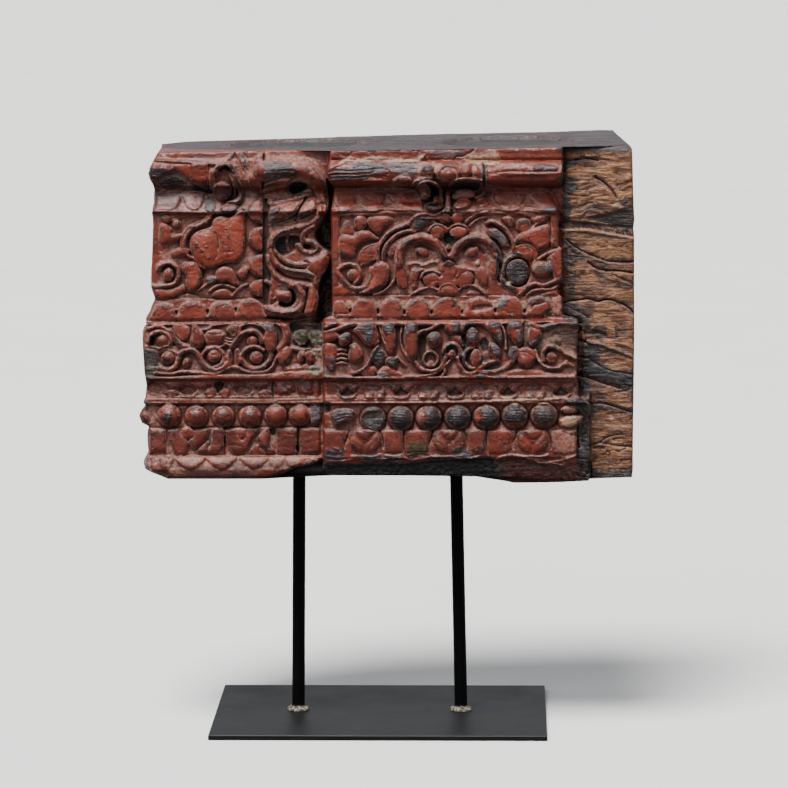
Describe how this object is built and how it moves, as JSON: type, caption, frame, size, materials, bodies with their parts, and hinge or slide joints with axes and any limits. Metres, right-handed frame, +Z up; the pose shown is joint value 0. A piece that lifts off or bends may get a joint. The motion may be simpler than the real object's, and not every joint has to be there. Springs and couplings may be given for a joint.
{
  "type": "carved timber bracket fragment on a steel stand",
  "caption": "Weathered, red painted carved timber corner bracket, with courses of beads, scrolls and leaves, held up by two rods on a flat steel foot plate.",
  "frame": {"origin": "centre of the foot plate's underside", "axes": "+Z up, the carved front faces -Y, +X to the viewer's right"},
  "size_m": [0.3776, 0.2106, 0.4547],
  "materials": {
    "carved_timber": "old red paint worn to dark bare timber, dusty in the hollows, golden brown where uncarved",
    "plate_steel": "blackened steel plate, satin",
    "rod_steel": "blackened steel rod, satin, with a pale weld bead at its foot"
  },
  "bodies": {
    "root": {"carved_block": "carved_timber", "base_plate": "plate_steel", "left_rod": "rod_steel", "right_rod": "rod_steel"}
  },
  "joints": []
}
